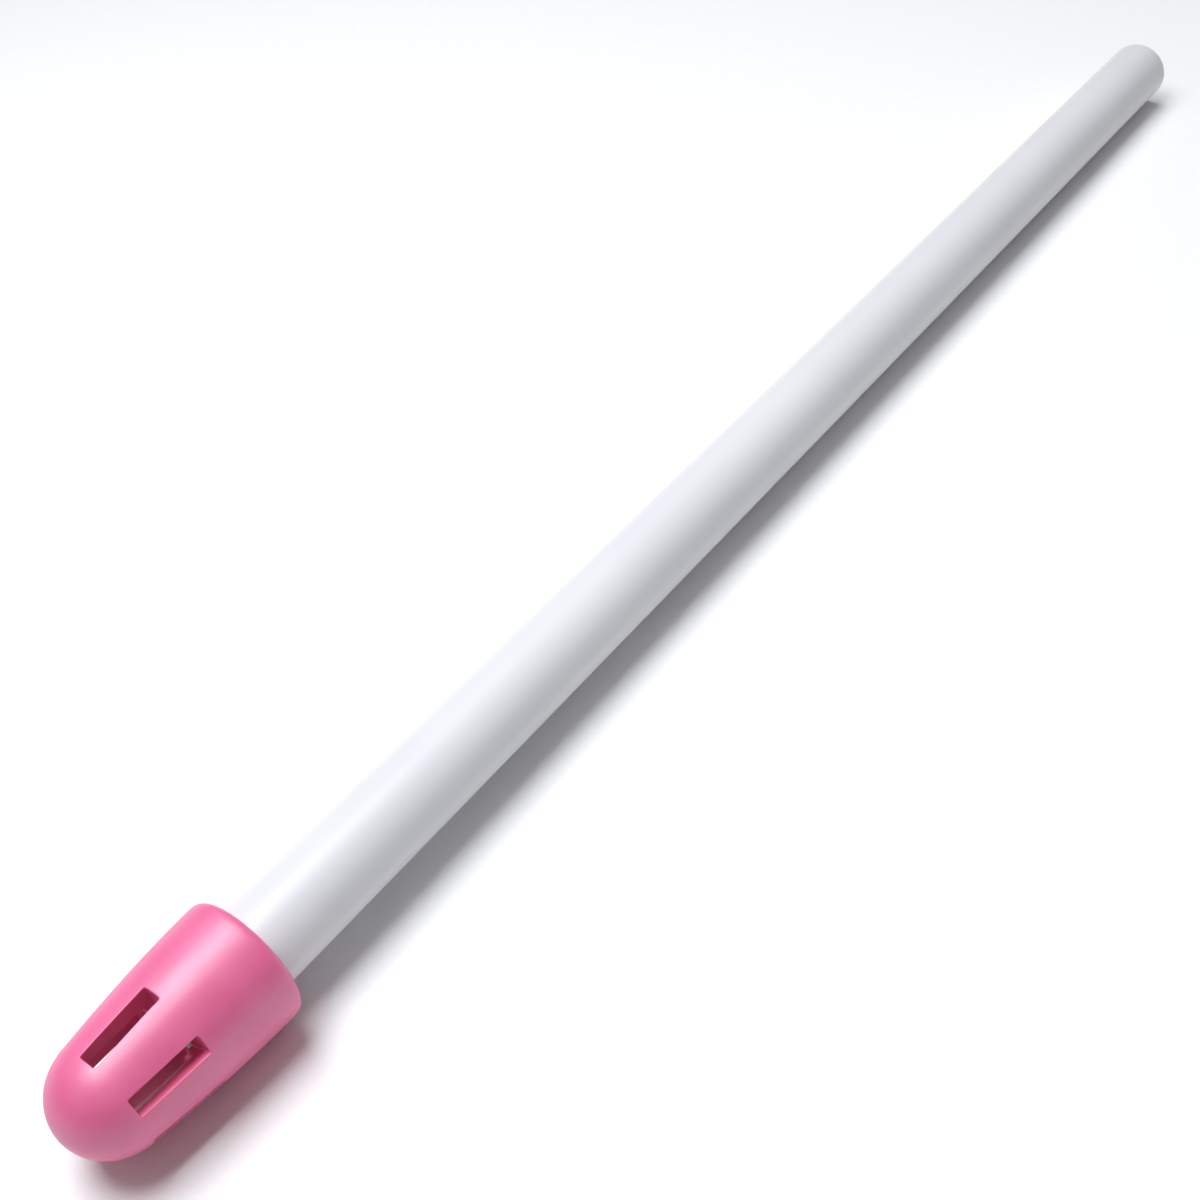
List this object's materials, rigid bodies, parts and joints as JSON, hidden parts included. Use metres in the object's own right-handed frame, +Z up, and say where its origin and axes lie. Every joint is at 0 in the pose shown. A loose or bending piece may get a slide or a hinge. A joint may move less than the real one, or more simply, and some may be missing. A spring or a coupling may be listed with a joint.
{
  "type": "saliva ejector tip",
  "caption": "Bendable plastic suction tube with a wire in its wall, an open suction end and a soft rounded cap with slots.",
  "frame": {"origin": "centre of the tube's open suction end, on the tube's axis", "axes": "+X runs along the straight tube towards the cap, +Z is up with the wire at the bottom of the wall, and the tube bends in the XY plane"},
  "size_m": [0.156, 0.0096, 0.0096],
  "materials": {
    "tube_plastic": "satin white soft plastic",
    "wire_metal": "drawn wire",
    "cap_plastic": "satin pink soft plastic"
  },
  "bodies": {
    "section_01": {"tube_section_01": "tube_plastic", "wire_section_01": "wire_metal"},
    "section_02": {"tube_section_02": "tube_plastic", "wire_section_02": "wire_metal"},
    "section_03": {"tube_section_03": "tube_plastic", "wire_section_03": "wire_metal"},
    "section_04": {"tube_section_04": "tube_plastic", "wire_section_04": "wire_metal"},
    "section_05": {"tube_section_05": "tube_plastic", "wire_section_05": "wire_metal"},
    "section_06": {"tube_section_06": "tube_plastic", "wire_section_06": "wire_metal"},
    "section_07": {"tube_section_07": "tube_plastic", "wire_section_07": "wire_metal"},
    "section_08": {"tube_section_08": "tube_plastic", "wire_section_08": "wire_metal"},
    "section_09": {"tube_section_09": "tube_plastic", "wire_section_09": "wire_metal"},
    "section_10": {"tube_section_10": "tube_plastic", "wire_section_10": "wire_metal"},
    "section_11": {"tube_section_11": "tube_plastic", "wire_section_11": "wire_metal"},
    "section_12": {"tube_section_12": "tube_plastic", "wire_section_12": "wire_metal"},
    "section_13": {"tube_section_13": "tube_plastic", "wire_section_13": "wire_metal"},
    "section_14": {"tube_section_14": "tube_plastic", "wire_section_14": "wire_metal"},
    "section_15": {"tube_section_15": "tube_plastic", "wire_section_15": "wire_metal"},
    "section_16": {"tube_section_16": "tube_plastic", "wire_section_16": "wire_metal"},
    "section_17": {"tube_section_17": "tube_plastic", "wire_section_17": "wire_metal"},
    "section_18": {"tube_section_18": "tube_plastic", "wire_section_18": "wire_metal"},
    "section_19": {"tube_section_19": "tube_plastic", "wire_section_19": "wire_metal"},
    "section_20": {"tube_section_20": "tube_plastic", "wire_section_20": "wire_metal"},
    "section_21": {"tube_section_21": "tube_plastic", "wire_section_21": "wire_metal"},
    "section_22": {"tube_section_22": "tube_plastic", "wire_section_22": "wire_metal"},
    "section_23": {"tube_section_23": "tube_plastic", "wire_section_23": "wire_metal"},
    "section_24": {"tube_section_24": "tube_plastic", "wire_section_24": "wire_metal"},
    "cap": {"tip_cap": "cap_plastic"}
  },
  "joints": [
    {"name": "tail_bend", "type": "hinge", "parent": "section_01", "child": "section_02", "pos_m": [0.027, 0, 0], "axis": [0, 0, 1], "range_deg": [-13.5, 13.5]},
    {"name": "tail_bend_2", "type": "hinge", "parent": "section_02", "child": "section_03", "pos_m": [0.0305, 0, 0], "axis": [0, 0, 1], "range_deg": [-13.5, 13.5]},
    {"name": "tail_bend_3", "type": "hinge", "parent": "section_03", "child": "section_04", "pos_m": [0.034, 0, 0], "axis": [0, 0, 1], "range_deg": [-13.5, 13.5]},
    {"name": "tail_bend_4", "type": "hinge", "parent": "section_04", "child": "section_05", "pos_m": [0.0375, 0, 0], "axis": [0, 0, 1], "range_deg": [-13.5, 13.5]},
    {"name": "tail_bend_5", "type": "hinge", "parent": "section_05", "child": "section_06", "pos_m": [0.041, 0, 0], "axis": [0, 0, 1], "range_deg": [-13.5, 13.5]},
    {"name": "tail_bend_6", "type": "hinge", "parent": "section_06", "child": "section_07", "pos_m": [0.0445, 0, 0], "axis": [0, 0, 1], "range_deg": [-13.5, 13.5]},
    {"name": "tail_bend_7", "type": "hinge", "parent": "section_07", "child": "section_08", "pos_m": [0.048, 0, 0], "axis": [0, 0, 1], "range_deg": [-13.5, 13.5]},
    {"name": "tail_bend_8", "type": "hinge", "parent": "section_08", "child": "section_09", "pos_m": [0.0515, 0, 0], "axis": [0, 0, 1], "range_deg": [-13.5, 13.5]},
    {"name": "tail_bend_9", "type": "hinge", "parent": "section_09", "child": "section_10", "pos_m": [0.055, 0, 0], "axis": [0, 0, 1], "range_deg": [-13.5, 13.5]},
    {"name": "tail_bend_10", "type": "hinge", "parent": "section_10", "child": "section_11", "pos_m": [0.0585, 0, 0], "axis": [0, 0, 1], "range_deg": [-13.5, 13.5]},
    {"name": "middle_bend", "type": "hinge", "parent": "section_11", "child": "section_12", "pos_m": [0.067, 0, 0], "axis": [0, 0, 1], "range_deg": [-8, 8]},
    {"name": "middle_bend_2", "type": "hinge", "parent": "section_12", "child": "section_13", "pos_m": [0.0755, 0, 0], "axis": [0, 0, 1], "range_deg": [-8, 8]},
    {"name": "middle_bend_3", "type": "hinge", "parent": "section_13", "child": "section_14", "pos_m": [0.084, 0, 0], "axis": [0, 0, 1], "range_deg": [-8, 8]},
    {"name": "middle_bend_4", "type": "hinge", "parent": "section_14", "child": "section_15", "pos_m": [0.0925, 0, 0], "axis": [0, 0, 1], "range_deg": [-8, 8]},
    {"name": "middle_bend_5", "type": "hinge", "parent": "section_15", "child": "section_16", "pos_m": [0.101, 0, 0], "axis": [0, 0, 1], "range_deg": [-8, 8]},
    {"name": "tip_bend", "type": "hinge", "parent": "section_16", "child": "section_17", "pos_m": [0.1095, 0, 0], "axis": [0, 0, 1], "range_deg": [-14, 14]},
    {"name": "tip_bend_2", "type": "hinge", "parent": "section_17", "child": "section_18", "pos_m": [0.113, 0, 0], "axis": [0, 0, 1], "range_deg": [-14, 14]},
    {"name": "tip_bend_3", "type": "hinge", "parent": "section_18", "child": "section_19", "pos_m": [0.1165, 0, 0], "axis": [0, 0, 1], "range_deg": [-14, 14]},
    {"name": "tip_bend_4", "type": "hinge", "parent": "section_19", "child": "section_20", "pos_m": [0.12, 0, 0], "axis": [0, 0, 1], "range_deg": [-14, 14]},
    {"name": "tip_bend_5", "type": "hinge", "parent": "section_20", "child": "section_21", "pos_m": [0.1235, 0, 0], "axis": [0, 0, 1], "range_deg": [-14, 14]},
    {"name": "tip_bend_6", "type": "hinge", "parent": "section_21", "child": "section_22", "pos_m": [0.127, 0, 0], "axis": [0, 0, 1], "range_deg": [-14, 14]},
    {"name": "tip_bend_7", "type": "hinge", "parent": "section_22", "child": "section_23", "pos_m": [0.1305, 0, 0], "axis": [0, 0, 1], "range_deg": [-14, 14]},
    {"name": "tip_bend_8", "type": "hinge", "parent": "section_23", "child": "section_24", "pos_m": [0.134, 0, 0], "axis": [0, 0, 1], "range_deg": [-14, 14]},
    {"name": "cap_pull_off", "type": "slide", "parent": "section_24", "child": "cap", "axis": [1, 0, 0], "range_m": [0, 0.012]}
  ],
  "couplings": [
    {"joint": "tail_bend_2", "follows": "tail_bend", "ratio": 1},
    {"joint": "tail_bend_3", "follows": "tail_bend", "ratio": 1},
    {"joint": "tail_bend_4", "follows": "tail_bend", "ratio": 1},
    {"joint": "tail_bend_5", "follows": "tail_bend", "ratio": 1},
    {"joint": "tail_bend_6", "follows": "tail_bend", "ratio": 1},
    {"joint": "tail_bend_7", "follows": "tail_bend", "ratio": 1},
    {"joint": "tail_bend_8", "follows": "tail_bend", "ratio": 1},
    {"joint": "tail_bend_9", "follows": "tail_bend", "ratio": 1},
    {"joint": "tail_bend_10", "follows": "tail_bend", "ratio": 1},
    {"joint": "middle_bend_2", "follows": "middle_bend", "ratio": 1},
    {"joint": "middle_bend_3", "follows": "middle_bend", "ratio": 1},
    {"joint": "middle_bend_4", "follows": "middle_bend", "ratio": 1},
    {"joint": "middle_bend_5", "follows": "middle_bend", "ratio": 1},
    {"joint": "tip_bend_2", "follows": "tip_bend", "ratio": 1},
    {"joint": "tip_bend_3", "follows": "tip_bend", "ratio": 1},
    {"joint": "tip_bend_4", "follows": "tip_bend", "ratio": 1},
    {"joint": "tip_bend_5", "follows": "tip_bend", "ratio": 1},
    {"joint": "tip_bend_6", "follows": "tip_bend", "ratio": 1},
    {"joint": "tip_bend_7", "follows": "tip_bend", "ratio": 1},
    {"joint": "tip_bend_8", "follows": "tip_bend", "ratio": 1}
  ]
}
